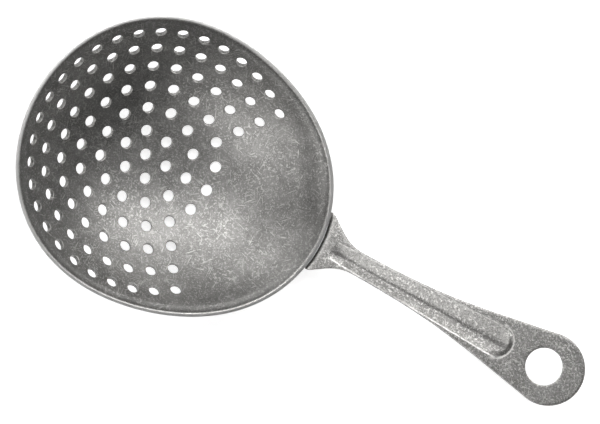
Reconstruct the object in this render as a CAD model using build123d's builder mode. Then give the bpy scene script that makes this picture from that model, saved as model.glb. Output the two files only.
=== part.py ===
from build123d import *
from math import atan2, cos, hypot, pi, radians, sin, sqrt, tan
import os

# A julep strainer: a deep perforated bowl, pressed from sheet steel, with a fluted handle welded
# under its rim. It is modelled as it lies on a table: the bowl stands on its own curved bottom
# with the rim dipping towards the handle, and the handle runs out along +X clear of the table.
# Millimetres, +Z up, origin under the middle of the whole object at table height.

# Bowl
sheet = 1.2  # thickness of the pressed bowl
rim_terms = (41.8, 1.55, 2.75, 1.0)  # egg-shaped rim: radius = sum of term * cos(k * angle)
dish_depth = 18.5  # rim plane down to the middle of the sheet at the bottom
dish_power = 2.54  # flat-bottomed, steep-sided: depth falls off as radius to this power
rim_tilt = 16.5  # dip of the rim plane towards the handle, degrees
rim_rounding = 0.25

# Perforations, punched in rings while the sheet was flat
perforation = 3.0  # diameter
ring_pitch = 6.48
ring_count = 6
full_rings = 3  # the rings inside this one go all the way round
plain_sector = 42.0  # half angle left unpunched towards the handle in the outer rings
pattern_x = -2.5  # middle of the rings, measured from the middle of the rim
pattern_turn = -2.5  # the rings stand a little turned, degrees

# Handle
plate = 1.8
handle_rise = 6.0  # slope of the handle above the table, degrees
handle_turn = 0.83  # the handle is set on this much askew, turned about its hanging hole, degrees
crevice = 0.45  # gap between the rim and the end of the handle's wing
wing_drop = 0.15  # the wing's top lies this far under the rim plane
wing_half, wing_overrun = 9.93, 2.6
flare_radius, flare_sweep = 11.5, 38.0  # fillet from the neck to the wing
neck_x, neck_half = 10.5, 3.2
flank_points = ((57.0, 7.75), (46.3, 5.85), (35.5, 4.35), (24.8, 3.55))  # pad to neck
pad_x, pad_radius, pad_sweep = 69.1, 9.8, 101.5  # round end of the handle
hang_x, hang_radius = 67.7, 5.0  # hanging hole
flute_start, flute_turn, flute_end = 2.6, 53.7, 58.0
flute_half, flute_spread = 2.4, 0.037
flute_depth, flute_deepening = 1.2, 0.008
flute_valley = 0.18  # the flute's lowest line is this share of its half width off its middle
edge_rounding = 0.4

# Tongue of the handle that laps the outside of the bowl, and the weld around it
tongue_length, tongue_half = 7.0, 8.8
tongue_top = 1.0  # its upper edge, under the rim plane
bead, bead_sweep = 1.1, 70.0  # radius of the weld bead, and half its run round the tongue, degrees


def rim_radius(angle):
    """Outer edge of the rim at an angle from the handle's direction."""
    return sum(term * cos(k * angle) for k, term in enumerate(rim_terms))


near_rim, far_rim = rim_radius(0), rim_radius(pi)
edge_inset = sheet * 2 / 3  # rim's outer edge to the middle of the sheet, in the rim plane


def dish_height(x, y):
    """Height of the middle of the sheet over the rim plane, at a point of that plane."""
    share = hypot(x, y) / (rim_radius(atan2(y, x)) - edge_inset)
    return -dish_depth * (1 - share**dish_power)


def sheet_normal(x, y, h=0.01):
    slope_x = (dish_height(x + h, y) - dish_height(x - h, y)) / (2 * h)
    slope_y = (dish_height(x, y + h) - dish_height(x, y - h)) / (2 * h)
    return Vector(-slope_x, -slope_y, 1).normalized()


# The bowl touches the table where the sheet's slope along the handle equals the rim's dip.
dip = radians(rim_tilt)
near_mid = near_rim - edge_inset
foot_share = (tan(dip) * near_mid / (dish_depth * dish_power)) ** (1 / (dish_power - 1))
foot_drop = dish_depth * (1 - foot_share**dish_power)
rim_height = near_mid * foot_share * sin(dip) + foot_drop * cos(dip) + sheet / 2

handle_reach = (pad_x + pad_radius) * cos(radians(handle_rise)) + (near_rim + crevice) * cos(dip)
rim_x = (far_rim * cos(dip) - handle_reach) / 2
rim = Plane(origin=(rim_x, 0, rim_height), x_dir=(cos(dip), 0, -sin(dip)), z_dir=(sin(dip), 0, cos(dip)))

rise, askew = radians(handle_rise), radians(handle_turn)
straight = Plane(
    origin=rim.from_local_coords(Vector(near_rim + crevice, 0, -wing_drop)),
    x_dir=(cos(rise), 0, sin(rise)),
    z_dir=(-sin(rise), 0, cos(rise)),
)
grip_way = straight.x_dir * cos(askew) - straight.y_dir * sin(askew)
hang_middle = straight.from_local_coords(Vector(hang_x, 0, 0))
grip = Plane(origin=hang_middle - grip_way * hang_x, x_dir=grip_way, z_dir=straight.z_dir)


def on_sheet(x, y, side):
    """A point at a distance from the middle of the sheet, positive towards the inside."""
    middle = Vector(x, y, dish_height(x, y))
    return rim.from_local_coords(middle + sheet_normal(x, y) * side)


def spread(low, high, count):
    return [low + (high - low) * i / (count - 1) for i in range(count)]


# Outer surface of the dish, carried a little past the rim so that the rim can be cut level
margin = 3.0
across = rim_radius(pi / 2) + margin
outside = Face.make_surface_from_array_of_points(
    [
        [on_sheet(x, y, -sheet / 2) for x in spread(-far_rim - margin, near_rim + margin, 45)]
        for y in spread(-across, across, 45)
    ],
    tol=0.002,
)
inwards = tuple(rim.z_dir)
outwards = tuple(-rim.z_dir)

# Pressed sheet before punching
with BuildPart() as blank:
    thicken(outside, amount=sheet, normal_override=inwards)
    split(bisect_by=rim, keep=Keep.BOTTOM)
    fillet(blank.faces().filter_by(GeomType.PLANE).edges(), rim_rounding)


def punched_at(angle, distance):
    """The plane of a perforation that lay this far from the rings' middle on the flat sheet."""
    step = 0.05
    x, y, gone = pattern_x, 0.0, 0.0
    while gone < distance:
        ahead_x, ahead_y = x + step * cos(angle), y + step * sin(angle)
        gone += hypot(step, dish_height(ahead_x, ahead_y) - dish_height(x, y))
        x, y = ahead_x, ahead_y
    normal = rim.from_local_coords(sheet_normal(x, y)) - rim.origin
    return Plane(origin=on_sheet(x, y, sheet), z_dir=normal)


perforations = [punched_at(0, 0)]
for ring in range(1, ring_count + 1):
    for i in range(6 * ring):
        bearing = 360 * i / (6 * ring)
        from_handle = min(bearing, 360 - bearing)
        if ring <= full_rings or from_handle > plain_sector:
            perforations.append(punched_at(radians(bearing + pattern_turn), ring * ring_pitch))

with BuildPart() as bowl:
    add(blank.part)
    with Locations(*perforations):
        Hole(radius=perforation / 2, depth=2 * sheet)

bowl.part.label = "bowl"
export_step(bowl.part, "parts/bowl.step")


def rim_outline(grown):
    """Points of the rim's outline in the rim plane, grown outwards."""
    turns = [2 * pi * i / 36 for i in range(36)]
    return [((rim_radius(a) + grown) * cos(a), (rim_radius(a) + grown) * sin(a)) for a in turns]


# The flute's section is a wide V with a rounded bottom, a little to one side. Its half width grows
# evenly along the handle, and so does its depth once it has run in from the wing. Both close in a
# quarter ellipse at the flute's round end.
def flute_size(x):
    half = flute_half + flute_spread * (x - flute_start)
    run_in = min((x - flute_start) / (neck_x - flute_start), 1)
    depth = flute_depth * run_in + flute_deepening * max(x - neck_x, 0)
    past_turn = max(x - flute_turn, 0) / (flute_end - flute_turn)
    run_out = sqrt(1 - past_turn**2)
    return half * run_out, depth * run_out**0.7


run_outs = [flute_turn + (flute_end - flute_turn) * share for share in (0, 0.35, 0.65, 0.85, 0.95, 0.99)]
stations = [flute_start + 0.6, 4.5, 7.0, neck_x, 20.0, 35.0, *run_outs]


def flute_solid(offset, lift):
    """The flute lofted along the handle, below the plate's own face or its back."""
    with BuildPart() as solid:
        for x in stations:
            half, depth = flute_size(x)
            valley = -flute_valley * half
            edge = half + offset / 3
            origin = grip.from_local_coords(Vector(x, 0, -offset))
            with BuildSketch(Plane(origin=origin, x_dir=grip.y_dir, z_dir=grip.x_dir)):
                with BuildLine():
                    FilletPolyline((-edge, 0), (valley, -depth), (edge, 0), radius=half / 2)
                    Polyline((edge, 0), (edge, lift), (-edge, lift), (-edge, 0))
                make_face()
        loft()
    return solid.part


groove = flute_solid(0, plate)
rib = flute_solid(plate, edge_rounding)


# Flat plate: wing, neck and round end, cut to the curve of the rim
up_grip = Axis(grip.origin, grip.z_dir)
with BuildSketch(grip) as plan:
    with BuildLine():
        end = CenterArc((pad_x, 0), pad_radius, 0, pad_sweep)
        flank = Spline(end @ 1, *flank_points, (neck_x, neck_half), tangents=(end % 1, (-1, 0)))
        flare = JernArc(flank @ 1, flank % 1, flare_radius, -flare_sweep)
        tip = Line(flare @ 1, (-wing_overrun, wing_half))
        Line(tip @ 1, (-wing_overrun, 0))
        mirror(about=Plane.XZ)
    make_face()

with BuildPart() as flat:
    add(plan.sketch)
    extrude(amount=plate, dir=tuple(-grip.z_dir))
    back, *_, top = flat.faces().sort_by(up_grip)
    fillet(back.edges() + top.edges(), edge_rounding)
    with BuildSketch(rim.offset(-tongue_length)):
        with BuildLine():
            Spline(*rim_outline(crevice), periodic=True)
        make_face()
    extrude(amount=2 * tongue_length, mode=Mode.SUBTRACT)

# Ridge that the flute raises under the plate, no wider than the plate
with BuildPart() as ridge:
    add(rib)
    with BuildSketch(grip):
        add(plan.sketch_local)
    extrude(amount=3 * plate + flute_depth, dir=tuple(-grip.z_dir), mode=Mode.INTERSECT)

# Tongue: follows the outside of the bowl from just under the rim
with BuildPart() as tongue:
    thicken(outside, amount=plate, normal_override=outwards)
    with BuildSketch(rim.offset(-2 * tongue_length)):
        with Locations((near_rim - crevice, 0)):
            Ellipse(tongue_length, tongue_half)
    extrude(amount=2 * tongue_length - tongue_top, mode=Mode.INTERSECT)

with BuildPart() as handle:
    add(flat.part)
    add(ridge.part)
    add(tongue.part)
    add(groove, mode=Mode.SUBTRACT)
    with Locations(Plane(origin=hang_middle, z_dir=grip.z_dir)):
        Hole(radius=hang_radius, depth=2 * plate)

handle.part.label = "handle"
export_step(handle.part, "parts/handle.step")

# Weld: a round bead in the corner between the tongue's edge and the bowl
bead_reach = tongue_length + sheet / 3
bearings = [radians(a) for a in spread(180 - bead_sweep, 180 + bead_sweep, 9)]
with BuildPart() as weld_bead:
    with BuildLine():
        run = Spline(
            *[
                on_sheet(near_rim - crevice + bead_reach * cos(a), tongue_half * sin(a), -sheet / 2)
                for a in bearings
            ]
        )
    with BuildSketch(Plane(origin=run @ 0, z_dir=run % 0)):
        Circle(bead)
    sweep()
    add(blank.part, mode=Mode.SUBTRACT)
    add(handle.part, mode=Mode.SUBTRACT)

weld_bead.part.label = "weld_bead"
export_step(weld_bead.part, "parts/weld_bead.step")
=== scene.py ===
from math import atan2, cos, hypot, pi, radians, sin, sqrt, tan

import bpy
from mathutils import Matrix, Vector
from mathutils.geometry import delaunay_2d_cdt


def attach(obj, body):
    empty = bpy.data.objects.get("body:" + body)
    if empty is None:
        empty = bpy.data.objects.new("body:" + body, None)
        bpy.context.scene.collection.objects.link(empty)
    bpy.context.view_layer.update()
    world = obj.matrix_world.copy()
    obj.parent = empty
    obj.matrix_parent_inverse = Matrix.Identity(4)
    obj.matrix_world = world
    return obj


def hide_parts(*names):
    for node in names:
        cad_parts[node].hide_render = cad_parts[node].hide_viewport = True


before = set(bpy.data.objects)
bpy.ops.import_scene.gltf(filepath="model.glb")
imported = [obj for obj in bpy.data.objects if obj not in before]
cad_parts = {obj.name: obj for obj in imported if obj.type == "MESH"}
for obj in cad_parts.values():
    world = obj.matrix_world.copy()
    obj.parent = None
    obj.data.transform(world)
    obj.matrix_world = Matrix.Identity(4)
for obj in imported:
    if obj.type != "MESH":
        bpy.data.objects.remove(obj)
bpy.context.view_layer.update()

# Shapes are worked out in millimetres with the CAD model's dimensions, then scaled to metres. They
# differ from it a little: the flute runs in sooner behind the wing, its round end is fuller, the
# bowl's lip thins towards its cut edge, and the edges have roundings of their own.
MM = 0.001

# Bowl
sheet = 1.2
rim_terms = (41.8, 1.55, 2.75, 1.0)
dish_depth, dish_power = 18.5, 2.54
rim_tilt = 16.5
perforation = 3.0
ring_pitch, ring_count, full_rings = 6.48, 6, 3
plain_sector, pattern_x, pattern_turn = 42.0, -2.5, -2.5

# Handle
plate, handle_rise, handle_turn = 1.8, 6.0, 0.83
crevice, wing_drop = 0.45, 0.15
wing_tip = (-2.6, 9.93)
flare_radius, flare_sweep = 11.5, 38.0
neck_x, neck_half = 10.5, 3.2
flank_points = ((24.8, 3.55), (35.5, 4.35), (46.3, 5.85), (57.0, 7.75))
pad_x, pad_radius, pad_sweep = 69.1, 9.8, 101.5
hang_x, hang_radius = 67.7, 5.0
flute_start, flute_turn, flute_end = 2.6, 53.4, 58.0
flute_half, flute_spread = 2.4, 0.037
flute_depth, flute_deepening, flute_valley = 1.2, 0.008, 0.18
flute_round = 4.75  # half width of the arc that closes the flute's end
tongue_length, tongue_half, tongue_top = 7.0, 8.8, 1.0
bead, bead_sweep = 1.1, 70.0


def rim_radius(angle):
    return sum(term * cos(k * angle) for k, term in enumerate(rim_terms))


near_rim, far_rim = rim_radius(0), rim_radius(pi)
edge_inset = sheet * 2 / 3


def dish_height(x, y):
    """Height of the middle of the sheet over the rim plane."""
    share = hypot(x, y) / (rim_radius(atan2(y, x)) - edge_inset)
    return -dish_depth * (1 - share**dish_power)


def dish_slope(x, y, h=0.01):
    slope_x = (dish_height(x + h, y) - dish_height(x - h, y)) / (2 * h)
    slope_y = (dish_height(x, y + h) - dish_height(x, y - h)) / (2 * h)
    return slope_x, slope_y


def on_sheet(x, y, side):
    """A point at a distance from the middle of the sheet, in the rim's own frame."""
    slope_x, slope_y = dish_slope(x, y)
    return Vector((x, y, dish_height(x, y))) + Vector((-slope_x, -slope_y, 1)).normalized() * side


def tilted_frame(x, z, dip):
    """A frame whose own X axis dips below the table's by an angle."""
    return Matrix(((cos(dip), 0, sin(dip), x), (0, 1, 0, 0), (-sin(dip), 0, cos(dip), z), (0, 0, 0, 1)))


# Places of the rim's frame and the handle's, as the bowl rests on its own curved bottom
dip, rise = radians(rim_tilt), radians(handle_rise)
near_mid = near_rim - edge_inset
foot_share = (tan(dip) * near_mid / (dish_depth * dish_power)) ** (1 / (dish_power - 1))
foot_drop = dish_depth * (1 - foot_share**dish_power)
rim_height = near_mid * foot_share * sin(dip) + foot_drop * cos(dip) + sheet / 2
handle_reach = (pad_x + pad_radius) * cos(rise) + (near_rim + crevice) * cos(dip)
rim = tilted_frame((far_rim * cos(dip) - handle_reach) / 2, rim_height, dip)
grip_origin = rim @ Vector((near_rim + crevice, 0, -wing_drop))
grip = tilted_frame(grip_origin.x, grip_origin.z, -rise)
to_hang = Matrix.Translation((hang_x, 0, 0))
grip = grip @ to_hang @ Matrix.Rotation(-radians(handle_turn), 4, "Z") @ to_hang.inverted()


def spread(low, high, count):
    return [low + (high - low) * i / (count - 1) for i in range(count)]


def smooth_step(low, high, value):
    share = min(max((value - low) / (high - low), 0), 1)
    return share * share * (3 - 2 * share)


def bend(start, corner, end, count):
    """Points of a curve that leaves start and reaches end along lines through the corner."""
    shares = spread(0, 1, count)
    return [start * (1 - t) ** 2 + corner * 2 * t * (1 - t) + end * t**2 for t in shares]


class Shell:
    """Vertices in one frame, with how worn each is and its painted light, and the faces between them.

    Values up to 1 are bright worn metal and painted light, up to 2 polish with a painted highlight,
    and below 0 painted shade, with oxide as well in the flute's crease. An object's coarseness is
    one number, and strengthens the flecks and the grain of its steel.
    """

    def __init__(self, place):
        self.place = place
        self.points = []
        self.wear_and_painted_light = []
        self.faces = []

    def add(self, point, wear_and_painted_light=0.0):
        self.points.append(point)
        self.wear_and_painted_light.append(wear_and_painted_light)
        return len(self.points) - 1

    def loop(self, points, wear_and_painted_light=0.0):
        return [self.add(p, wear_and_painted_light) for p in points]

    def join(self, first, second):
        """Quads between two closed loops of the same length."""
        for i in range(len(first)):
            j = (i + 1) % len(first)
            self.faces.append((first[i], second[i], second[j], first[j]))

    def object(self, name, coarse=0.0):
        mesh = bpy.data.meshes.new(name)
        mesh.from_pydata([self.place @ Vector(p) * MM for p in self.points], [], self.faces)
        worn = mesh.attributes.new("wear_and_painted_light", "FLOAT", "POINT")
        worn.data.foreach_set("value", self.wear_and_painted_light)
        grained = mesh.attributes.new("coarse", "FLOAT", "POINT")
        grained.data.foreach_set("value", [coarse] * len(self.points))
        mesh.shade_smooth()
        made = bpy.data.objects.new(name, mesh)
        bpy.context.scene.collection.objects.link(made)
        return made


def triangulate(loops, loose):
    """Flat triangles inside the first loop and outside the others, as indices into all the points."""
    points, edges, owner = [], [], []
    for k, loop in enumerate(loops):
        first = len(points)
        points += loop
        owner += [k] * len(loop)
        edges += [(first + i, first + (i + 1) % len(loop)) for i in range(len(loop))]
    points += loose
    owner += [-1] * len(loose)
    made = delaunay_2d_cdt([Vector(p) for p in points], edges, [], 0, 1e-6)
    source = [origins[0] for origins in made[3]]
    triangles = []
    for face in made[2]:
        corners = [source[i] for i in face]
        owners = {owner[i] for i in corners}
        middle = [sum(points[i][c] for i in corners) / 3 for c in (0, 1)]
        if len(owners) == 1 and -1 not in owners and not (0 in owners and inside(middle, loops[0])):
            continue
        triangles.append(corners)
    return points, triangles


def inside(point, loop):
    x, y = point
    within = False
    for (x1, y1), (x2, y2) in zip(loop, loop[1:] + loop[:1]):
        if (y1 > y) != (y2 > y) and x < x1 + (y - y1) / (y2 - y1) * (x2 - x1):
            within = not within
    return within


# ---------------------------------------------------------------- bowl


def punched_at(angle, distance):
    """Where a perforation lies that was this far from the rings' middle on the flat sheet."""
    step = 0.05
    x, y, gone = pattern_x, 0.0, 0.0
    while gone < distance:
        ahead_x, ahead_y = x + step * cos(angle), y + step * sin(angle)
        gone += hypot(step, dish_height(ahead_x, ahead_y) - dish_height(x, y))
        x, y = ahead_x, ahead_y
    return x, y


perforations = [punched_at(0, 0)]
for ring in range(1, ring_count + 1):
    for i in range(6 * ring):
        bearing = 360 * i / (6 * ring)
        from_handle = min(bearing, 360 - bearing)
        if ring <= full_rings or from_handle > plain_sector:
            perforations.append(punched_at(radians(bearing + pattern_turn), ring * ring_pitch))

HOLE_SIDES = 28
HOLE_EDGE = 0.17  # rounding of a perforation's two edges
HOLE_FIELD = perforation / 2 + 0.42  # the plain skin starts this far from a perforation's middle
RIM_SIDES = 288
RIM_START = 0.955  # the plain skin ends at this share of the rim's radius
SKIN_STEP = 1.35  # spacing of the plain skin's points


def round_hole(centre, radius):
    """A circle on the sheet, as points of the rim plane."""
    slope_x, slope_y = dish_slope(*centre)
    steep = max(hypot(slope_x, slope_y), 1e-9)
    along = (slope_x / steep, slope_y / steep)
    squeeze = 1 / hypot(1, steep)
    points = []
    for i in range(HOLE_SIDES):
        a = 2 * pi * i / HOLE_SIDES
        down, side = radius * cos(a) * squeeze, radius * sin(a)
        x = centre[0] + down * along[0] - side * along[1]
        y = centre[1] + down * along[1] + side * along[0]
        points.append((x, y))
    return points


def skin_radius(angle):
    return RIM_START * (rim_radius(angle) - edge_inset)


bearings = [2 * pi * j / RIM_SIDES for j in range(RIM_SIDES)]
loops = [[(skin_radius(a) * cos(a), skin_radius(a) * sin(a)) for a in bearings]]
loops += [round_hole(centre, HOLE_FIELD) for centre in perforations]
loose = []
for row in range(-40, 41):
    for column in range(-40, 41):
        x, y = SKIN_STEP * (column + row % 2 / 2), SKIN_STEP * sqrt(3) / 2 * row
        if hypot(x, y) > skin_radius(atan2(y, x)) - 0.5 * SKIN_STEP:
            continue
        if min(hypot(x - cx, y - cy) for cx, cy in perforations) > HOLE_FIELD + 0.4 * SKIN_STEP:
            loose.append((x, y))
flat_points, triangles = triangulate(loops, loose)

SHADE_BANDS = ((0.84, 0.95), (0.95, 0.99))  # shares of the rim's radius over which painted shade darkens the wall
BAND_SHADE = 0.3


def rim_painted_shade(radius, angle):
    """Painted shade: the steep wall under the rim is darkened towards the rim."""
    share = radius / (rim_radius(angle) - edge_inset)
    return -sum(BAND_SHADE * smooth_step(*band, share) for band in SHADE_BANDS)


bowl = Shell(rim)
inner = []
for x, y in flat_points:
    inner.append(bowl.add(on_sheet(x, y, sheet / 2), rim_painted_shade(hypot(x, y), atan2(y, x))))
outer = [bowl.add(on_sheet(x, y, -sheet / 2)) for x, y in flat_points]
for a, b, c in triangles:
    bowl.faces += [(inner[a], inner[b], inner[c]), (outer[c], outer[b], outer[a])]

# Perforation walls, with both edges rounded by the tumbling
quarter = [radians(t) for t in (0, 30, 60, 90)]
wall_profile = []
for t in quarter:
    wall_profile.append((perforation / 2 + HOLE_EDGE * (1 - sin(t)), sheet / 2 - HOLE_EDGE * (1 - cos(t))))
wall_profile += [(radius, -side) for radius, side in reversed(wall_profile)]
# worn top rounding, and painted shade on the lower rounding
wall_wear_and_shade = (0.0, 0.5, 0.6, 0.0, -0.2, -0.3, -0.2, 0.0)
first = RIM_SIDES
for centre in perforations:
    ends = list(range(first, first + HOLE_SIDES))
    chain = [[inner[i] for i in ends]]
    for (radius, side), wear_and_painted_light in zip(wall_profile, wall_wear_and_shade):
        chain.append(bowl.loop([on_sheet(x, y, side) for x, y in round_hole(centre, radius)], wear_and_painted_light))
    chain.append([outer[i] for i in ends])
    for above, below in zip(chain, chain[1:]):
        bowl.join(below, above)
    first += HOLE_SIDES


def rim_share(angle, side):
    """Radius at which a face of the sheet reaches the rim plane."""
    radius = rim_radius(angle) - edge_inset
    for _ in range(6):
        high = on_sheet(radius * cos(angle), radius * sin(angle), side).z
        higher = on_sheet((radius + 0.01) * cos(angle), (radius + 0.01) * sin(angle), side).z
        radius -= 0.01 * high / (higher - high)
    return radius


LIP = 0.25  # the lip's inner face, measured from the middle of the sheet: the sheet thins there
LIP_THINS = 0.2  # the thinning starts this far inside the plain skin's end
INNER_ROUND, OUTER_ROUND = 0.3, 0.32  # how far below the cut edge its two roundings start
INNER_SHARE, OUTER_SHARE = 0.22, 0.26  # how much of the cut edge's width they take
# Colour of the lip: painted shade on the wall below it, polish with a painted highlight over the cut edge,
# and painted shade on the outer bend and the skin below it
INNER_LIGHT_AND_SHADE = (-0.6, -0.2, 0.3, 0.8, 1.3, 1.8)
CUT_POLISH_AND_HIGHLIGHT = 2.0
OUTER_LIGHT_AND_SHADE = (2.0, 1.6, 0.4, -0.6, -0.8, -0.7, -0.5)
OUTSIDE_SHADE = (-0.3, -0.1)


def rim_profile(angle):
    """From the inner skin over the cut edge to the outer skin, each point with how worn it is and its
    painted light and shade.
    """
    start = skin_radius(angle)
    inner_end, outer_end = rim_share(angle, LIP), rim_share(angle, -sheet / 2)

    def face(radius, side):
        return on_sheet(radius * cos(angle), radius * sin(angle), side)

    def inner_face(radius):
        thinning = smooth_step(start - LIP_THINS, inner_end - INNER_ROUND, radius)
        return face(radius, sheet / 2 + (LIP - sheet / 2) * thinning)

    inner_edge, outer_edge = face(inner_end, LIP), face(outer_end, -sheet / 2)
    across = outer_edge - inner_edge
    wall = spread(start, inner_end - INNER_ROUND, 6)[1:5]
    outside = spread(outer_end - OUTER_ROUND, start, 4)[1:3]
    inner_bend = bend(inner_face(inner_end - INNER_ROUND), inner_edge, inner_edge + across * INNER_SHARE, 6)
    outer_low = face(outer_end - OUTER_ROUND, -sheet / 2)
    outer_bend = bend(outer_edge - across * OUTER_SHARE, outer_edge, outer_low, 7)
    points = [(inner_face(r), rim_painted_shade(r, angle)) for r in wall]
    points += list(zip(inner_bend, INNER_LIGHT_AND_SHADE))
    points.append((inner_edge + across * 0.5, CUT_POLISH_AND_HIGHLIGHT))
    points += list(zip(outer_bend, OUTER_LIGHT_AND_SHADE))
    points += [(face(r, -sheet / 2), wear_and_painted_light) for r, wear_and_painted_light in zip(outside, OUTSIDE_SHADE)]
    return points


profiles = [rim_profile(a) for a in bearings]
chain = [inner[:RIM_SIDES]]
for level in range(len(profiles[0])):
    chain.append([bowl.add(*profile[level]) for profile in profiles])
chain.append(outer[:RIM_SIDES])
for within, without in zip(chain, chain[1:]):
    bowl.join(within, without)
bowl_piece = bowl.object("strainer_bowl")


# ---------------------------------------------------------------- handle

# Half width of the handle along its length, as a smooth run through its measured widths
pad_start = radians(pad_sweep)
pad_join = (pad_x + pad_radius * cos(pad_start), pad_radius * sin(pad_start))
run_points = ((neck_x, neck_half), *flank_points, pad_join)
run_slopes = [0.0]
for before, after in zip(run_points, run_points[2:]):
    run_slopes.append((after[1] - before[1]) / (after[0] - before[0]))
run_slopes.append(-cos(pad_start) / sin(pad_start))
flare_x = neck_x - flare_radius * sin(radians(flare_sweep))
flare_half = neck_half + flare_radius * (1 - cos(radians(flare_sweep)))


def half_width(x):
    if x <= flare_x:
        return flare_half + (wing_tip[1] - flare_half) * (flare_x - x) / (flare_x - wing_tip[0])
    if x <= neck_x:
        return neck_half + flare_radius - sqrt(flare_radius**2 - (x - neck_x) ** 2)
    if x >= pad_join[0]:
        return sqrt(max(pad_radius**2 - (x - pad_x) ** 2, 0))
    for k in range(len(run_points) - 1):
        (x0, y0), (x1, y1) = run_points[k], run_points[k + 1]
        if x <= x1:
            span, t = x1 - x0, (x - x0) / (x1 - x0)
            return (
                (1 + 2 * t) * (1 - t) ** 2 * y0
                + t * (1 - t) ** 2 * span * run_slopes[k]
                + t * t * (3 - 2 * t) * y1
                - t * t * (1 - t) * span * run_slopes[k + 1]
            )


to_rim = rim.inverted() @ grip


def wing_end(y, depth=0.0):
    """Where the handle ends beside the rim, at a distance across it and a depth below its top."""
    x = 0.0
    for _ in range(8):
        at_rim = to_rim @ Vector((x, y, -depth))
        x -= hypot(at_rim.x, at_rim.y) - rim_radius(atan2(at_rim.y, at_rim.x)) - crevice
    return x


shear = wing_end(0, 1) - wing_end(0, 0)  # the end's wall leans by this much for each mm down


TIP_CUT = 4  # points each side of the wing's tip that its rounding replaces
TIP_ROW = 25  # points along the wing's end, from its middle to a tip


def half_outline(side):
    """The handle's outline on one side, from the middle of its wing end to its far end."""
    tip_y = wing_tip[1]
    for _ in range(30):
        tip_y = half_width(wing_end(side * tip_y))
    points = [(wing_end(side * y), y) for y in spread(0, tip_y, TIP_ROW + 1)]
    points += [(x, half_width(x)) for x in spread(points[-1][0], neck_x, 24)[1:]]
    points += [(x, half_width(x)) for x in spread(neck_x, pad_join[0], 90)[1:]]
    points += [(pad_x + pad_radius * cos(a), pad_radius * sin(a)) for a in spread(pad_start, 0, 44)[1:]]
    before, corner, after = (Vector(points[TIP_ROW + k * TIP_CUT]) for k in (-1, 0, 1))
    rounded = bend(before, corner, after, 9)
    points[TIP_ROW - TIP_CUT : TIP_ROW + TIP_CUT + 1] = [tuple(p) for p in rounded]
    return [(x, side * y) for x, y in points], Vector((rounded[4].x, side * rounded[4].y))


left_outline, left_tip = half_outline(1)
right_outline, right_tip = half_outline(-1)
whole_outline = left_outline + right_outline[-2:0:-1]


def tip_near(y):
    return left_tip if y > 0 else right_tip


def wing_end_near(y):
    """Where the handle ends beside the rim, not counted further across than the wing's tips."""
    return wing_end(max(min(y, left_tip.y), right_tip.y))


TIP_INSET = 0.25  # share of the inset that is left at the wing's tips
TIP_REACH = (0.2, 2.2)  # distances from a tip over which the inset grows to its full size


def inset(points, distance):
    """A closed outline moved inwards, less so near the wing's sharp tips."""
    moved = []
    count = len(points)
    for i, (x, y) in enumerate(points):
        before, after = points[i - 1], points[(i + 1) % count]
        run = Vector((after[0] - before[0], after[1] - before[1])).normalized()
        near_tip = (Vector((x, y)) - tip_near(y)).length
        amount = distance * (TIP_INSET + (1 - TIP_INSET) * smooth_step(*TIP_REACH, near_tip))
        moved.append((x + run.y * amount * turn, y - run.x * amount * turn))
    return moved


ahead = whole_outline[1:] + whole_outline[:1]
area = sum(p[0] * q[1] - q[0] * p[1] for p, q in zip(whole_outline, ahead))
turn = -1 if area > 0 else 1

RUN_IN_POWER = 2.2  # how soon the flute reaches its depth behind the wing
VALLEY_ROUNDING = 0.22  # of the flute's half width
END_RISE = (0.6, 1.0)  # shares of the round end's size over which the flute's floor rises
RIDGE_SIDE, RIDGE_END = 0.6, 0.8  # how much wider and longer the ridge under the flute is
RIDGE_RISE = (0.55, 1.05)
TOP_BLEND, BACK_BLEND = 0.06, 0.3  # roundings where the flute and its ridge meet the flat plate
LEVEL_TOP, LEVEL_BACK = 0.02, 0.3  # the floor's and the ridge's height at the round end


def flute_at(x):
    """The flute's half width at a station, its half width before the round end, and its depth."""
    half = flute_half + flute_spread * (x - flute_start)
    run_in = max(min((x - flute_start) / (neck_x - flute_start), 1.0), 0.0)
    run_in = 1 - (1 - run_in) ** RUN_IN_POWER
    depth = flute_depth * run_in + flute_deepening * max(x - neck_x, 0)
    past_turn = min(max(x - flute_turn, 0) / (flute_end - flute_turn), 1)
    closing = sqrt(1 - past_turn**2)
    return min(half, flute_round * closing), half, depth


def soft_min(a, b, blend):
    """The smaller of two heights, with a rounding where they meet."""
    share = max(blend - abs(a - b), 0) / blend
    return min(a, b) - share * share * blend / 4


def end_reach(x, y, longer=0.0):
    """How far a point lies out from the middle of the flute's round end: 0 before it, 1 at its edge."""
    if x <= flute_turn:
        return 0.0
    return hypot((x - flute_turn) / (flute_end + longer - flute_turn), y / (flute_round + longer))


def valley_height(x, y, wider):
    """Height of the flute's section: a wide V with a rounded bottom, a little to one side."""
    _, half, depth = flute_at(x)
    valley = -flute_valley * half
    side = (half + wider - valley) if y > valley else (half + wider + valley)
    share = abs(y - valley) / side
    rounding = VALLEY_ROUNDING
    share = (sqrt(share**2 + rounding**2) - rounding) / (sqrt(1 + rounding**2) - rounding)
    return -depth * (1 - share)


def top_height(x, y):
    depth = flute_at(x)[2]
    if x <= flute_start or x >= flute_end + 1 or depth < 1e-3:
        return 0.0
    groove = valley_height(x, y, 0.0)
    groove += (LEVEL_TOP - groove) * smooth_step(*END_RISE, end_reach(x, y))
    return soft_min(0.0, groove, TOP_BLEND)


def back_height(x, y):
    depth = flute_at(x)[2]
    if x <= flute_start or depth < 1e-3:
        return -plate
    raised = valley_height(x, y, RIDGE_SIDE) - plate
    if x > flute_turn:
        risen = smooth_step(*RIDGE_RISE, end_reach(x, y, RIDGE_END))
        raised += (LEVEL_BACK - plate - raised) * risen
    return soft_min(-plate, raised, BACK_BLEND)


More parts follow.
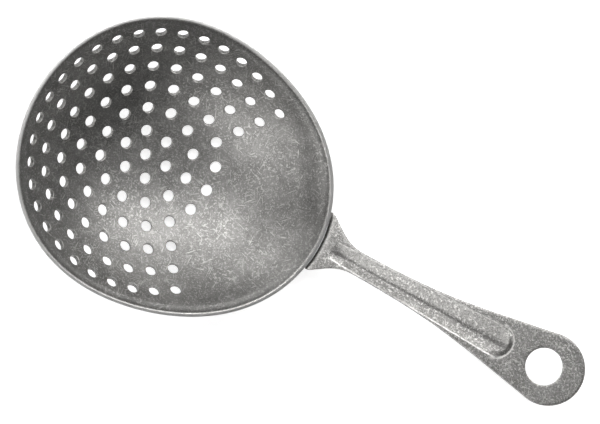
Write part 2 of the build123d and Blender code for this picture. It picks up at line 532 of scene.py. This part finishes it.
EDGE, END_EDGE = 0.42, 0.6  # rounding of the handle's edges, and of its wing's end
END_SIDE = (0.2, 0.9)  # distances from the wing's end over which one goes over into the other
LEAN_FADE = (0.5, 5.0)  # stations over which the end wall's lean runs out
EDGE_WEAR, WALL_SHADE = 0.75, 0.7


def leaned(x, y, z):
    """The wing's end wall leans with the bowl's rim; further along, walls are square."""
    return Vector((x + shear * -z * (1 - smooth_step(*LEAN_FADE, x)), y, z))


def edge_size(x, y):
    end_side = 1 - smooth_step(*END_SIDE, x - wing_end_near(y))
    return EDGE + (END_EDGE - EDGE) * end_side


def edge_wear_and_shade(t):
    """Bright where an edge starts to turn over, with painted shade on the wall below it."""
    if t < pi / 4:
        return EDGE_WEAR * sin(2 * t) ** 2
    return EDGE_WEAR - (EDGE_WEAR + WALL_SHADE) * smooth_step(pi / 4, pi / 2, t)


handle = Shell(grip)
edge_loop = inset(whole_outline, 1.0)
sizes = [edge_size(x, y) for x, y in whole_outline]


def inset_by(share):
    """The outline moved inwards by a share of the edge's own rounding."""
    return [
        (x + (ex - x) * size * share, y + (ey - y) * size * share)
        for (x, y), (ex, ey), size in zip(whole_outline, edge_loop, sizes)
    ]


def flute_outline(grown):
    """The flute's edge in plan, moved outwards."""
    stations = spread(flute_start + 1.2, flute_turn, 70) + [
        flute_turn + (flute_end - flute_turn) * sin(a) for a in spread(0, pi / 2, 20)[1:]
    ]
    side = []
    for x in stations[:-1]:
        half = flute_at(x)[0]
        nearer, further = flute_at(x - 0.05)[0], flute_at(min(x + 0.05, flute_end))[0]
        run = Vector((0.1, further - nearer)).normalized()
        side.append((x - run.y * grown, half + run.x * grown))
    end = (flute_end + grown, 0.0)
    return side, end


HANG_SIDES = 72
HANG_EDGE = 0.3  # rounding of the hanging hole's two edges
EDGE_ROWS = (-0.45, -0.22, -0.08, 0.0, 0.08, 0.22, 0.45)  # distances from the flute's edge
CREASE_ROWS = (-0.8, -0.4, 0.0, 0.4, 0.8)  # distances from its crease


def hole_ring(radius):
    turns = [2 * pi * i / HANG_SIDES for i in range(HANG_SIDES)]
    return [(hang_x + radius * cos(a), radius * sin(a)) for a in turns]


# Rows of points along the flute's edge and its crease, and an even grid between them
top_loop = inset_by(1.0)
loose = []
for grown in EDGE_ROWS:
    side, end = flute_outline(grown)
    loose += side + [(x, -y) for x, y in side] + [end]
valley_line = [x for x in spread(flute_start + 1.5, flute_end - 1.2, 100) if flute_at(x)[0] > 1.5]
for aside in CREASE_ROWS:
    loose += [(x, aside - flute_valley * flute_at(x)[1]) for x in valley_line]

ROW_GAP, GRID_GAP, END_GAP, TIP_GAP = 0.62, 0.7, 0.3, 1.3  # clearances of loose points
GRID_STEP, CELL = 0.62, 0.5  # the grid leaves out the cells that a row runs through
GRID_ROWS, GRID_COLUMNS = range(-16, 17), range(-6, 130)


def well_inside(x, y, gap):
    """True where a loose point is clear of the outline and the hanging hole."""
    if abs(y) > half_width(min(max(x, wing_tip[0]), pad_x + pad_radius)) - gap:
        return False
    if x > pad_x and hypot(x - pad_x, y) > pad_radius - gap:
        return False
    if x < wing_end_near(y) + gap + END_GAP:
        return False
    if (Vector((x, y)) - tip_near(y)).length < TIP_GAP:
        return False
    return hypot(x - hang_x, y) > hang_radius + HANG_EDGE + gap / 2


def cell(x, y):
    return round(x / CELL), round(y / CELL)


top_loose = [p for p in loose if well_inside(*p, ROW_GAP)]
crowded = {cell(*p) for p in top_loose}
grid = []
for row in GRID_ROWS:
    for column in GRID_COLUMNS:
        x, y = GRID_STEP * (column + row % 2 / 2), GRID_STEP * sqrt(3) / 2 * row
        if well_inside(x, y, GRID_GAP):
            grid.append((x, y))
top_grid = [p for p in grid if cell(*p) not in crowded]

hang_loop = hole_ring(hang_radius + HANG_EDGE)
top_points, top_faces = triangulate([top_loop, hang_loop], top_loose + top_grid)
back_points, back_faces = triangulate([top_loop, hang_loop], grid)

# Painted light on the handle's top, with worn edges: painted highlights and painted shade. Each pair
# is the two distances, or stations along the handle, between which they change.
EDGE_LINE, EDGE_LINE_HIGHLIGHT = 0.3, 1.5  # half width and strength of the painted highlight on the flute's worn edge
# painted highlights near the wing's end and along its sides, and a painted lighter middle behind the end
WING_END, WING_END_HIGHLIGHT = (0.7, 1.4), 0.8
WING_SIDE, WING_SIDE_HIGHLIGHT = (0.3, 1.1), 0.45
WING_FADE = (6, 14)  # stations over which the painted highlight on the wing's sides ends
WING_MIDDLE, WING_MIDDLE_LIGHT = (1.0, 4.0), 0.15
# painted light: the flute's left wall is painted lighter than its right one
LEFT_WALL_LIGHT, RIGHT_WALL_LIGHT = 0.34, 0.06
# the flute's crease is darkened: oxide in the hollow, with painted shade
CREASE_CORE, CREASE_WIDTH, CREASE_SPREAD = 0.1, 1.0, 0.9
CREASE_ASIDE, CREASE_OXIDE_AND_SHADE = 0.2, 0.5
CREASE_WIDENS, CREASE_ENDS = (20, 52), (0.6, 0.9)
FOOT_REACH, FOOT_BEARING = (0.45, 0.9), (-0.6, 0.9)
FOOT_SHADE = 0.8  # painted shade at the right side of the flute's round end


def top_wear_and_light(x, y):
    """Painted light on the handle's top: painted highlights on the flute's edge, which is worn too,
    and near the wing's end and sides; one flute wall painted lighter than the other; painted shade
    at the right side of the round end; oxide with painted shade in the flute's crease.
    """
    half, straight_half, depth = flute_at(x)
    # painted highlights near the wing's end and sides
    near_side = 1 - smooth_step(*WING_SIDE, half_width(min(x, pad_x)) - abs(y))
    near_end = 1 - smooth_step(*WING_END, x - wing_end_near(y))
    wing = max(WING_END_HIGHLIGHT * near_end, WING_SIDE_HIGHLIGHT * near_side * (1 - smooth_step(*WING_FADE, x)))
    if x <= flute_start + 0.4 or x > flute_end + 0.5 or depth < 0.15:
        return max(wing, WING_MIDDLE_LIGHT * (1 - smooth_step(*WING_MIDDLE, x)))
    gap = abs(abs(y) - half)
    reach = end_reach(x, y)
    if x > flute_turn:
        gap = min(gap, abs(reach - 1) * flute_round)
    # painted highlight along the flute's worn edge
    if gap < EDGE_LINE:
        return EDGE_LINE_HIGHLIGHT * (1 - gap / EDGE_LINE)
    if abs(y) > half or reach > 1:
        return wing
    aside = y + flute_valley * straight_half
    crease_width = CREASE_WIDTH + CREASE_SPREAD * smooth_step(*CREASE_WIDENS, x)
    crease = 1 - smooth_step(CREASE_CORE, crease_width, abs(aside + CREASE_ASIDE))
    # one wall of the flute painted lighter than the other: painted light
    wall = LEFT_WALL_LIGHT if aside > 0 else RIGHT_WALL_LIGHT
    started = smooth_step(flute_start, flute_start + 3, x)
    bearing = atan2(y, max(x - flute_turn, 0.01))
    # painted shade at the right side of the flute's round end
    foot_shade = smooth_step(*FOOT_REACH, reach) * (1 - smooth_step(*FOOT_BEARING, bearing))
    # the crease darkened by oxide and painted shade, the round end's right side by painted shade
    dull_and_painted_shade = max(CREASE_OXIDE_AND_SHADE * crease * (1 - smooth_step(*CREASE_ENDS, reach)), FOOT_SHADE * foot_shade)
    return wall * started * (1 - crease) * (1 - foot_shade) - dull_and_painted_shade


top_ids = [handle.add(leaned(x, y, top_height(x, y)), top_wear_and_light(x, y)) for x, y in top_points]
back_ids = [handle.add(leaned(x, y, back_height(x, y))) for x, y in back_points]
handle.faces += [(top_ids[a], top_ids[b], top_ids[c]) for a, b, c in top_faces]
handle.faces += [(back_ids[c], back_ids[b], back_ids[a]) for a, b, c in back_faces]

# The plate's outer edge, rounded at the top and at the back
count = len(whole_outline)
quarter = [radians(t) for t in (18, 36, 54, 72, 90)]
chain = [top_ids[:count]]
for t in quarter:
    level = []
    for (x, y), (ix, iy), size in zip(inset_by(1 - sin(t)), top_loop, sizes):
        level.append(leaned(x, y, min(top_height(ix, iy), 0) - size * (1 - cos(t))))
    chain.append(handle.loop(level, edge_wear_and_shade(t)))
for t in reversed(quarter):
    level = []
    for (x, y), (ix, iy) in zip(inset_by(1 - sin(t)), top_loop):
        level.append(leaned(x, y, back_height(ix, iy) + EDGE * (1 - cos(t))))
    chain.append(handle.loop(level, edge_wear_and_shade(t)))
chain.append(back_ids[:count])
for above, below in zip(chain, chain[1:]):
    if turn < 0:
        handle.join(above, below)
    else:
        handle.join(below, above)

# The hanging hole's wall, with both edges rounded
chain = [top_ids[count : count + HANG_SIDES]]
for t in quarter:
    ring = hole_ring(hang_radius + HANG_EDGE * (1 - sin(t)))
    chain.append(handle.loop([Vector((x, y, -HANG_EDGE * (1 - cos(t)))) for x, y in ring], edge_wear_and_shade(t)))
for t in reversed(quarter):
    ring = hole_ring(hang_radius + HANG_EDGE * (1 - sin(t)))
    height = HANG_EDGE * (1 - cos(t)) - plate
    chain.append(handle.loop([Vector((x, y, height)) for x, y in ring], edge_wear_and_shade(t)))
chain.append(back_ids[count : count + HANG_SIDES])
for above, below in zip(chain, chain[1:]):
    handle.join(below, above)
handle_piece = handle.object("strainer_handle", 1.0)


# Tongue that laps the outside of the bowl: one closed profile for each distance across it
TONGUE_GAP = 0.02  # between the tongue and the bowl
TONGUE_EDGE = 0.35  # thickness at the tongue's sides, as a share of the plate's


def tongue_profile(y, share):
    low = near_rim - crevice - tongue_length * sqrt(max(1 - (y / tongue_half) ** 2, 0))
    reach = rim_radius(atan2(y, near_rim))
    high = sqrt(max(reach**2 - y**2, 0)) - edge_inset - tongue_top
    low = min(low, high - 0.2)
    thick = plate * (TONGUE_EDGE + (1 - TONGUE_EDGE) * share)
    inner_side, outer_side = -sheet / 2 + TONGUE_GAP, -sheet / 2 - thick
    points = [on_sheet(x, y, inner_side) for x in spread(high, low, 10)]
    corner_in, corner_out = on_sheet(low - 0.3, y, inner_side), on_sheet(low - 0.3, y, outer_side)
    points += bend(points[-1], corner_in, (corner_in + corner_out) / 2, 4)[1:]
    points += bend((corner_in + corner_out) / 2, corner_out, on_sheet(low + 0.5, y, outer_side), 6)[1:]
    points += [on_sheet(x, y, outer_side) for x in spread(low + 0.5, high + 0.4, 10)[1:]]
    return points


TONGUE_END, TONGUE_ROUND = 0.955, 0.96  # of its half width: where it ends, and where it would thin out

tongue = Shell(rim)
across = [tongue_half * TONGUE_END * sin(a) for a in spread(-pi / 2, pi / 2, 33)]
chain = []
for y in across:
    share = sqrt(max(1 - (y / (tongue_half * TONGUE_ROUND)) ** 2, 0)) ** 0.5
    chain.append(tongue.loop(tongue_profile(y, share)))
for before, after in zip(chain, chain[1:]):
    tongue.join(before, after)
tongue.faces += [tuple(reversed(chain[0])), tuple(chain[-1])]
tongue_piece = tongue.object("strainer_tongue", 1.0)

SHARP_FROM = 38  # degrees between faces

joined = handle_piece.modifiers.new("tongue", "BOOLEAN")
joined.operation = "UNION"
joined.solver = "EXACT"
joined.object = tongue_piece
shown = bpy.context.evaluated_depsgraph_get()
whole_mesh = bpy.data.meshes.new_from_object(handle_piece.evaluated_get(shown))
handle_piece.modifiers.clear()
handle_piece.data = whole_mesh
bpy.data.objects.remove(tongue_piece)
whole_mesh.set_sharp_from_angle(angle=radians(SHARP_FROM))


# ---------------------------------------------------------------- weld bead


def bead_place(angle):
    """Where the bead runs round the tongue's edge, as a point of the rim plane."""
    return near_rim - crevice + (tongue_length + sheet / 3) * cos(angle), tongue_half * sin(angle)


def bead_centre(angle):
    return on_sheet(*bead_place(angle), -sheet / 2)


BEAD_SIDES, BEAD_END = 18, 6  # points round the bead, and stations over which its ends close
RIPPLE, RIPPLE_STATIONS, RIPPLE_LAG = 0.05, 6, 0.16  # the bead's scales
BEAD_SINK = 0.3  # how far the bead reaches into the sheet
BEAD_WEAR = 0.3

weld = Shell(rim)
stations = spread(pi - radians(bead_sweep), pi + radians(bead_sweep), 121)
chain = []
for k, angle in enumerate(stations):
    centre = bead_centre(angle)
    forward = (bead_centre(angle + 0.01) - bead_centre(angle - 0.01)).normalized()
    slope_x, slope_y = dish_slope(*bead_place(angle))
    up = Vector((-slope_x, -slope_y, 1)).normalized()
    sideways = forward.cross(up).normalized()
    end_share = min(k, len(stations) - 1 - k) / BEAD_END
    size = bead * min(1.0, sqrt(max(end_share * (2 - end_share), 0.02))) if end_share < 1 else bead
    size *= 1 - RIPPLE + RIPPLE * sin(k * 2 * pi / RIPPLE_STATIONS)
    ring_points = []
    for i in range(BEAD_SIDES):
        a = 2 * pi * i / BEAD_SIDES
        lag = forward * RIPPLE_LAG * cos(a) * min(1, end_share)
        ring_points.append(centre + sideways * size * sin(a) + up * max(-cos(a) * size, -size) + lag)
        inward = (ring_points[-1] - centre).dot(up)
        if inward > BEAD_SINK:
            ring_points[-1] -= up * (inward - BEAD_SINK)
    chain.append(weld.loop(ring_points, BEAD_WEAR))
for before, after in zip(chain, chain[1:]):
    weld.join(after, before)
weld.faces += [tuple(chain[0]), tuple(reversed(chain[-1]))]
weld_piece = weld.object("strainer_weld")


# ---------------------------------------------------------------- materials


class Finish:
    """A material and short ways to add its nodes."""

    def __init__(self, name):
        self.material = bpy.data.materials.new(name)
        self.material.use_nodes = True
        self.tree = self.material.node_tree
        self.tree.nodes.clear()
        self.coords = self.node("ShaderNodeTexCoord").outputs["Object"]

    def node(self, kind, **settings):
        made = self.tree.nodes.new(kind)
        for key, value in settings.items():
            setattr(made, key, value)
        return made

    def feed(self, socket, value):
        if hasattr(value, "is_output"):
            self.tree.links.new(value, socket)
        else:
            socket.default_value = value

    def math(self, operation, a, b=0.0, clamp=False):
        made = self.node("ShaderNodeMath", operation=operation, use_clamp=clamp)
        self.feed(made.inputs[0], a)
        self.feed(made.inputs[1], b)
        return made.outputs[0]

    def ramp(self, value, low, high, to_low=0.0, to_high=1.0):
        made = self.node("ShaderNodeMapRange", interpolation_type="SMOOTHSTEP")
        for socket, number in zip(made.inputs[:5], (value, low, high, to_low, to_high)):
            self.feed(socket, number)
        return made.outputs[0]

    def placed(self, turn=0.0, stretch=(1, 1, 1), shift=(0, 0, 0)):
        """Coordinates in millimetres, turned about the vertical and stretched."""
        turned = self.node("ShaderNodeMapping", vector_type="POINT")
        self.feed(turned.inputs["Vector"], self.coords)
        self.feed(turned.inputs["Rotation"], (0, 0, radians(turn)))
        scaled = self.node("ShaderNodeMapping", vector_type="POINT")
        self.feed(scaled.inputs["Vector"], turned.outputs[0])
        self.feed(scaled.inputs["Scale"], tuple(s / MM for s in stretch))
        self.feed(scaled.inputs["Location"], shift)
        return scaled.outputs[0]

    def noise(self, scale, detail=2.0, rough=0.5, vector=None):
        made = self.node("ShaderNodeTexNoise")
        self.feed(made.inputs["Vector"], vector or self.placed())
        self.feed(made.inputs["Scale"], scale)
        self.feed(made.inputs["Detail"], detail)
        self.feed(made.inputs["Roughness"], rough)
        return made.outputs["Fac"]

    def mix(self, share, a, b):
        made = self.node("ShaderNodeMix", data_type="RGBA")
        self.feed(made.inputs["Factor"], share)
        self.feed(made.inputs["A"], a)
        self.feed(made.inputs["B"], b)
        return made.outputs["Result"]


# Polish, worn metal and the darkened colour also paint highlights, light and shade laid on the mesh
POLISH_AND_HIGHLIGHT = (0.95, 0.945, 0.93, 1)
WORN_AND_PAINTED_LIGHT = (0.66, 0.65, 0.63, 1)
SHADE_SHARE = 0.35  # of the dark colour, for painted shade and the crease's oxide
ROUGHNESS = 0.5
RELIEF = 0.06  # depth of the bump, in mm


def tumbled_steel(name, dark, light, speckle_amount=0.75, streaks=5):
    """Grey stainless steel after tumbling: mottled, pitted, finely scratched, bright at its edges. Its
    colour also holds painted highlights and painted shade, read from the mesh.
    """
    f = Finish(name)
    mottle = f.noise(0.11, 4, 0.6)
    patches = f.noise(0.45, 3, 0.55)
    grain = f.noise(1.9, 3, 0.65)
    fine = f.noise(5.0, 2, 0.6)
    # Light flecks, in drifts
    drift = f.ramp(f.noise(0.09, 3, 0.6), 0.38, 0.66, 0.35, 1.0)
    fleck = f.ramp(f.noise(1.5, 2.5, 0.6, f.placed(37, shift=(3, 7, 1))), 0.56, 0.64)
    fleck = f.math("MULTIPLY", fleck, drift)
    small = f.ramp(f.noise(2.6, 1.5, 0.5, f.placed(12, shift=(9, 2, 5))), 0.58, 0.70)
    coarse = f.node("ShaderNodeAttribute", attribute_name="coarse").outputs["Fac"]
    marks = f.math("MAXIMUM", fleck, f.math("MULTIPLY", small, 0.7))
    marks = f.math("MULTIPLY", marks, f.math("ADD", f.math("MULTIPLY", coarse, 0.75), speckle_amount))
    # Fine scratches that run every way
    scratches = 0.0
    for k in range(streaks):
        turn = 17 + 180 * k / streaks + 11 * (k % 2)
        length, width = 3.2 + 1.1 * (k % 3), 0.22
        lines = f.noise(1, 1, 0.4, f.placed(turn, (1 / length, 1 / width, 1 / length), (5 * k, 3 * k, k)))
        lines = f.ramp(lines, 0.64, 0.74)
        place = f.ramp(f.noise(0.28, 2, 0.5, f.placed(0, shift=(13 * k, 7 * k, 0))), 0.50, 0.62)
        scratches = f.math("MAXIMUM", f.math("MULTIPLY", lines, place), scratches)
    # Pits
    cells = f.node("ShaderNodeTexVoronoi")
    f.feed(cells.inputs["Vector"], f.placed(5))
    f.feed(cells.inputs["Scale"], 0.75)
    pits = f.ramp(cells.outputs["Distance"], 0.05, 0.2, 1.0, 0.0)
    # Worn edges, with the mesh's painted highlights and painted shade, broken up
    wear_and_painted_light = f.node("ShaderNodeAttribute", attribute_name="wear_and_painted_light").outputs["Fac"]
    broken = f.ramp(f.noise(0.8, 3, 0.6), 0.3, 0.62, 0.5, 1.0)
    broken = f.math("MULTIPLY", broken, f.ramp(grain, 0.36, 0.62, 0.45, 1.15))
    # worn edges and painted light where the mesh's value lies between 0 and 1
    ragged_wear_and_light = f.math("MULTIPLY", wear_and_painted_light, broken, clamp=True)
    # painted shade where the mesh's value is below 0, with oxide in the flute's crease
    dull_and_painted_shade = f.math("MULTIPLY", wear_and_painted_light, -0.85, clamp=True)
    tone = f.math("ADD", f.math("MULTIPLY", mottle, 0.5), f.math("MULTIPLY", patches, 0.3))
    tone = f.math("ADD", tone, f.math("MULTIPLY", grain, 0.45))
    tone = f.math("ADD", tone, f.math("MULTIPLY", f.math("SUBTRACT", grain, 0.5), coarse))
    tone = f.ramp(tone, 0.42, 0.84)
    bright = f.math("MAXIMUM", marks, f.math("MULTIPLY", scratches, 0.9))
    bright = f.math("MAXIMUM", bright, ragged_wear_and_light)
    colour = f.mix(tone, dark, light)
    colour = f.mix(bright, colour, WORN_AND_PAINTED_LIGHT)
    # polish with painted highlights where the mesh's value passes 1
    polish_and_highlight = f.math("SUBTRACT", wear_and_painted_light, 1.0, clamp=True)
    colour = f.mix(polish_and_highlight, colour, POLISH_AND_HIGHLIGHT)
    colour = f.mix(dull_and_painted_shade, colour, tuple(c * SHADE_SHARE for c in dark[:3]) + (1,))
    rough = f.math("ADD", f.math("MULTIPLY", patches, 0.12), ROUGHNESS - 0.06)
    rough = f.math("SUBTRACT", rough, f.math("MULTIPLY", bright, 0.08))
    height = f.math("ADD", f.math("MULTIPLY", grain, 0.55), f.math("MULTIPLY", fine, 0.2))
    height = f.math("ADD", height, f.math("MULTIPLY", marks, 0.35))
    height = f.math("SUBTRACT", height, f.math("MULTIPLY", scratches, 0.3))
    height = f.math("SUBTRACT", height, f.math("MULTIPLY", pits, 0.5))
    bump = f.node("ShaderNodeBump")
    f.feed(bump.inputs["Strength"], 0.5)
    f.feed(bump.inputs["Distance"], RELIEF * MM)
    f.feed(bump.inputs["Height"], height)
    shader = f.node("ShaderNodeBsdfPrincipled")
    f.feed(shader.inputs["Base Color"], colour)
    f.feed(shader.inputs["Roughness"], rough)
    f.feed(shader.inputs["Metallic"], 1.0)
    f.feed(shader.inputs["Normal"], bump.outputs[0])
    end = f.node("ShaderNodeOutputMaterial")
    f.feed(end.inputs["Surface"], shader.outputs[0])
    return f.material


steel = tumbled_steel("tumbled_steel", (0.20, 0.197, 0.19, 1), (0.33, 0.325, 0.315, 1))
weld_metal = tumbled_steel("weld_metal", (0.24, 0.235, 0.225, 1), (0.40, 0.39, 0.375, 1), 0.6, 2)

for piece, node, slot, material in (
    (bowl_piece, "bowl", "tumbled_steel", steel),
    (handle_piece, "handle", "tumbled_steel", steel),
    (weld_piece, "weld_bead", "weld_metal", weld_metal),
):
    piece.data.materials.clear()
    piece.data.materials.append(material)
    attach(piece, "root")
    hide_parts(node)


# ---------------------------------------------------------------- floor, light and camera

VIEW_TURN = radians(28.07)  # the handle points this far below the picture's right
VIEW_CENTRE = Vector((-0.00567, 0.00578, 0))
FIELD, DISTANCE, SENSOR = 0.1612, 1.85, 36.0  # width seen and camera's height in m, sensor in mm
FLOOR, FLOOR_HEIGHT = 6.0, -0.0001  # half width and height, in m

f = Finish("pale_floor")
shader = f.node("ShaderNodeBsdfPrincipled")
f.feed(shader.inputs["Base Color"], (0.86, 0.86, 0.86, 1))
f.feed(shader.inputs["Roughness"], 0.9)
f.feed(shader.inputs["Emission Color"], (1, 1, 1, 1))
f.feed(shader.inputs["Emission Strength"], 0.64)
f.feed(f.node("ShaderNodeOutputMaterial").inputs["Surface"], shader.outputs[0])
floor_mesh = bpy.data.meshes.new("floor")
corners = ((-FLOOR, -FLOOR), (FLOOR, -FLOOR), (FLOOR, FLOOR), (-FLOOR, FLOOR))
floor_mesh.from_pydata([(x, y, FLOOR_HEIGHT) for x, y in corners], [], [(0, 1, 2, 3)])
floor_mesh.materials.append(f.material)
floor = bpy.data.objects.new("floor", floor_mesh)
bpy.context.scene.collection.objects.link(floor)


def softbox(name, bearing, slant, reach, size, power):
    """A square soft light aimed at the middle.

    Its bearing is counted in the picture, 0 right and 90 up, and its slant off the vertical, in
    degrees. Its reach and size are in metres and its power in watts.
    """
    data = bpy.data.lights.new(name, "AREA")
    data.shape = "RECTANGLE"
    data.size = data.size_y = size
    data.energy = power
    lamp = bpy.data.objects.new(name, data)
    turn, lean = VIEW_TURN + radians(bearing), radians(slant)
    away = Vector((sin(lean) * cos(turn), sin(lean) * sin(turn), cos(lean)))
    lamp.location = away * reach
    lamp.rotation_euler = (-away).to_track_quat("-Z", "Y").to_euler()
    lamp.visible_camera = False
    bpy.context.scene.collection.objects.link(lamp)


softbox("top_back", 90, 25, 0.25, 0.12, 0.251)
softbox("near_right_back", 45, 45, 0.28, 0.16, 0.245)
softbox("near_left_front", 225, 45, 0.28, 0.16, 0.308)
softbox("far_left_back", 135, 58, 0.9, 0.5, 2.1)
softbox("far_right_back", 45, 58, 0.9, 0.5, 0.79)

world = bpy.data.worlds.new("studio")
world.use_nodes = True
world.node_tree.nodes["Background"].inputs["Color"].default_value = (1, 1, 1, 1)
world.node_tree.nodes["Background"].inputs["Strength"].default_value = 0.01
bpy.context.scene.world = world
bpy.context.scene.view_settings.view_transform = "Standard"

camera_data = bpy.data.cameras.new("camera")
camera_data.sensor_width = SENSOR
camera_data.lens = SENSOR * DISTANCE / FIELD
camera = bpy.data.objects.new("camera", camera_data)
camera.location = VIEW_CENTRE + Vector((0, 0, DISTANCE))
camera.rotation_euler = (0, 0, VIEW_TURN)
camera_data.clip_start, camera_data.clip_end = 0.1, 20.0
bpy.context.scene.collection.objects.link(camera)
bpy.context.scene.camera = camera
